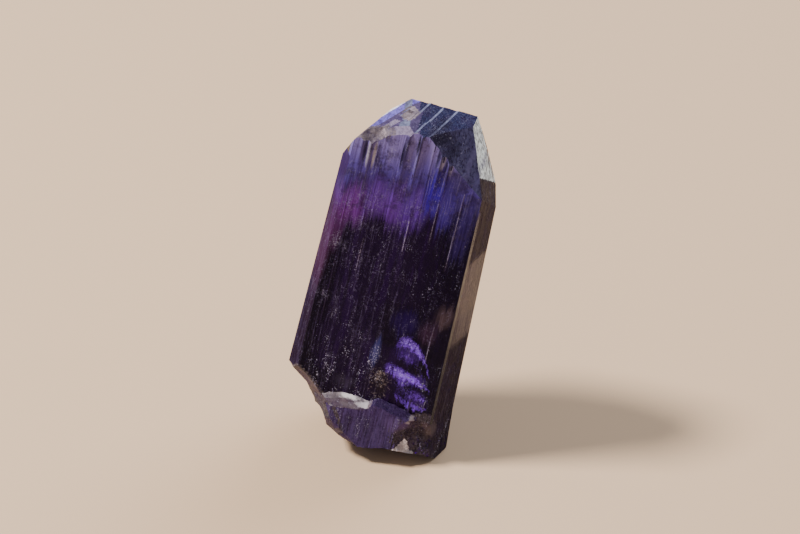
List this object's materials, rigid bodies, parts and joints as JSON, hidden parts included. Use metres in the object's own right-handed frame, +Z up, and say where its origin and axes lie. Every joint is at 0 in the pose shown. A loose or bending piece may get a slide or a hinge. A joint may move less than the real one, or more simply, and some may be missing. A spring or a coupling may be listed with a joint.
{
  "type": "rough tanzanite crystal",
  "caption": "Rough tanzanite: one striated violet-blue prism with a bevelled tip and a broken base that it stands on.",
  "frame": {"origin": "middle of the bounding box, on the plane that the crystal rests on", "axes": "+Z up, +X along the width of the broad front face (the way the crystal leans), -Y out of the broad front face"},
  "size_m": [0.0188, 0.0104, 0.0361],
  "materials": {
    "crystal": "glossy, finely striated, clear violet-blue"
  },
  "bodies": {
    "root": {"tanzanite_crystal": "crystal"}
  },
  "joints": []
}
